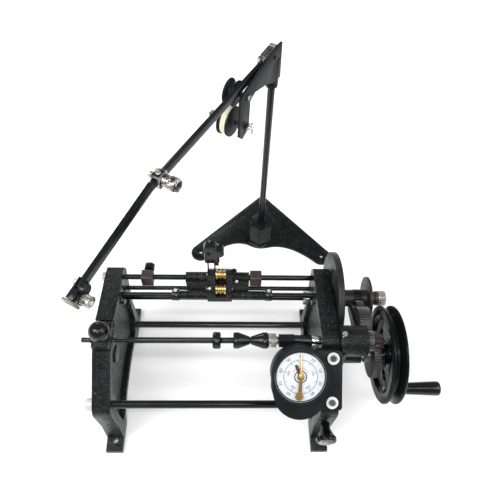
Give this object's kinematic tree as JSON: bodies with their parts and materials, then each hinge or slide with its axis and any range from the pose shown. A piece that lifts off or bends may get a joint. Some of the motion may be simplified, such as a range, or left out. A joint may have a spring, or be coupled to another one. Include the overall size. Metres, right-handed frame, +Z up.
{
  "type": "wire coil winding machine",
  "caption": "Hand-cranked bench coil winder with cast side frames, geared spindle, dial counter, wire traverse and a separate wire-feed stand with a tension arm.",
  "frame": {"origin": "centre of the four foot holes, on the plane under the feet", "axes": "+X along the spindle towards the hand wheel, +Y to the rear where the feed stand is, +Z up"},
  "size_m": [0.369, 0.3915, 0.315],
  "materials": {
    "cast_black": "rough cast",
    "rod_black": "satin",
    "gloss_black": "glossy",
    "wheel_black": "glossy",
    "case_black": "matte",
    "dark_steel": "satin",
    "steel": "brushed",
    "chrome": "polished",
    "brass": "machined",
    "fibre_brown": "satin",
    "felt": "felted",
    "dial_white": "matte",
    "pad_steel": "satin"
  },
  "bodies": {
    "frame": {"side_frame_left": "cast_black", "side_frame_right": "cast_black", "gear_housing": "cast_black", "front_tie_rod": "rod_black", "rear_tie_rod": "rod_black", "guide_rod_upper": "rod_black", "guide_rod_lower": "rod_black", "steady_rod": "rod_black", "counter_case": "case_black", "counter_dial": "dial_white", "counter_screws": "chrome", "stand_base": "cast_black", "stand_boss": "cast_black", "stand_post": "rod_black"},
    "spindle": {"spindle_shaft": "rod_black", "lock_collar": "rod_black", "cone_left": "rod_black", "cone_right": "rod_black", "cone_nut": "steel", "chuck_body": "rod_black", "spindle_gear": "dark_steel", "pinion": "fibre_brown"},
    "wheel": {"wheel_shaft": "steel", "bull_gear": "rod_black", "hand_wheel": "wheel_black", "crank_bolt": "steel"},
    "handle": {"crank_handle": "gloss_black"},
    "idler": {"idler_gear": "dark_steel"},
    "idler_two": {"idler_pinion": "dark_steel"},
    "drive": {"drive_shaft": "rod_black", "friction_disc": "dark_steel", "drive_gear": "dark_steel", "fibre_washer": "fibre_brown", "drive_nut": "chrome", "star_wheel": "steel"},
    "carriage": {"carriage_block": "cast_black", "set_collars": "rod_black", "guide_head": "rod_black", "guide_wires": "steel"},
    "roller_high": {"guide_roller_upper": "brass"},
    "roller_low": {"guide_roller_lower": "brass"},
    "stop_left": {"travel_stop_left": "fibre_brown"},
    "stop_right": {"travel_stop_right": "fibre_brown"},
    "short_hand": {"hand_short": "rod_black"},
    "long_hand": {"hand_long": "brass"},
    "cap": {"bearing_cap": "cast_black", "ball_lever": "gloss_black"},
    "clamp_knob": {"front_knob": "gloss_black"},
    "head": {"stand_bracket": "rod_black", "pulley_axle": "steel"},
    "pulley_high": {"pulley_upper": "case_black"},
    "pulley_low": {"pulley_lower": "case_black", "felt_ring": "felt"},
    "arm": {"tension_arm": "rod_black", "arm_spring_left": "steel", "arm_spring_right": "steel", "arm_tip": "rod_black", "tip_pad": "pad_steel"},
    "clip": {"arm_clip": "steel"},
    "tip_screw": {"tip_knob": "steel"}
  },
  "joints": [
    {"name": "wheel_turn", "type": "hinge", "parent": "frame", "child": "wheel", "pos_m": [0.178, -0.018, 0.098], "axis": [1, 0, 0], "continuous": true},
    {"name": "spindle_turn", "type": "hinge", "parent": "frame", "child": "spindle", "pos_m": [0, -0.018, 0.128], "axis": [1, 0, 0], "continuous": true},
    {"name": "idler_turn", "type": "hinge", "parent": "frame", "child": "idler", "pos_m": [0.154, 0.00757, 0.1133], "axis": [1, 0, 0], "continuous": true},
    {"name": "idler_two_turn", "type": "hinge", "parent": "frame", "child": "idler_two", "pos_m": [0.154, 0.03347, 0.10566], "axis": [1, 0, 0], "continuous": true},
    {"name": "drive_turn", "type": "hinge", "parent": "frame", "child": "drive", "pos_m": [0.15, 0.0493, 0.101], "axis": [1, 0, 0], "continuous": true},
    {"name": "handle_turn", "type": "hinge", "parent": "wheel", "child": "handle", "pos_m": [0.21, -0.04703, 0.07604], "axis": [1, 0, 0], "continuous": true},
    {"name": "long_hand_turn", "type": "hinge", "parent": "frame", "child": "long_hand", "pos_m": [0.0798, -0.04452, 0.11679], "axis": [0, -0.6157, 0.788], "continuous": true},
    {"name": "short_hand_turn", "type": "hinge", "parent": "frame", "child": "short_hand", "pos_m": [0.0798, -0.04452, 0.11679], "axis": [0, -0.6157, 0.788], "continuous": true},
    {"name": "carriage_slide", "type": "slide", "parent": "frame", "child": "carriage", "axis": [1, 0, 0], "range_m": [-0.035, 0]},
    {"name": "roller_high_turn", "type": "hinge", "parent": "carriage", "child": "roller_high", "pos_m": [0.002, 0.0565, 0.1355], "axis": [1, 0, 0], "continuous": true},
    {"name": "roller_low_turn", "type": "hinge", "parent": "carriage", "child": "roller_low", "pos_m": [0.002, 0.044, 0.1266], "axis": [1, 0, 0], "continuous": true},
    {"name": "stop_left_slide", "type": "slide", "parent": "frame", "child": "stop_left", "axis": [1, 0, 0], "range_m": [-0.018, 0]},
    {"name": "stop_right_slide", "type": "slide", "parent": "frame", "child": "stop_right", "axis": [1, 0, 0], "range_m": [0, 0.055]},
    {"name": "cap_hinge", "type": "hinge", "parent": "frame", "child": "cap", "pos_m": [-0.113, -0.005, 0.1335], "axis": [-1, 0, 0], "range_deg": [0, 70]},
    {"name": "clamp_knob_turn", "type": "hinge", "parent": "frame", "child": "clamp_knob", "pos_m": [0.113, -0.085, 0.058], "axis": [0, -1, 0], "continuous": true},
    {"name": "head_swivel", "type": "hinge", "parent": "frame", "child": "head", "pos_m": [0.0544, 0.2107, 0.285], "axis": [0, 0, 1], "range_deg": [-60, 60]},
    {"name": "pulley_high_turn", "type": "hinge", "parent": "head", "child": "pulley_high", "pos_m": [0.01071, 0.16123, 0.2928], "axis": [0.8729, -0.4879, 0], "continuous": true},
    {"name": "pulley_low_turn", "type": "hinge", "parent": "head", "child": "pulley_low", "pos_m": [0.00886, 0.15997, 0.26], "axis": [0.8729, -0.4879, 0], "continuous": true},
    {"name": "arm_hinge", "type": "hinge", "parent": "head", "child": "arm", "pos_m": [0.04952, 0.20197, 0.3054], "axis": [-0.8729, 0.4879, 0], "range_deg": [0, 12]},
    {"name": "clip_slide", "type": "slide", "parent": "arm", "child": "clip", "axis": [-0.4878, -0.8728, -0.0132], "range_m": [-0.06, 0]},
    {"name": "tip_screw_turn", "type": "hinge", "parent": "arm", "child": "tip_screw", "pos_m": [-0.09688, -0.05998, 0.27923], "axis": [0.8729, -0.4879, 0], "continuous": true}
  ],
  "couplings": [
    {"joint": "spindle_turn", "follows": "wheel_turn", "ratio": -4},
    {"joint": "idler_turn", "follows": "wheel_turn", "ratio": 2.0513},
    {"joint": "idler_two_turn", "follows": "wheel_turn", "ratio": -5.3333},
    {"joint": "drive_turn", "follows": "wheel_turn", "ratio": 4.4444},
    {"joint": "long_hand_turn", "follows": "wheel_turn", "ratio": -0.04},
    {"joint": "short_hand_turn", "follows": "wheel_turn", "ratio": -0.004}
  ]
}
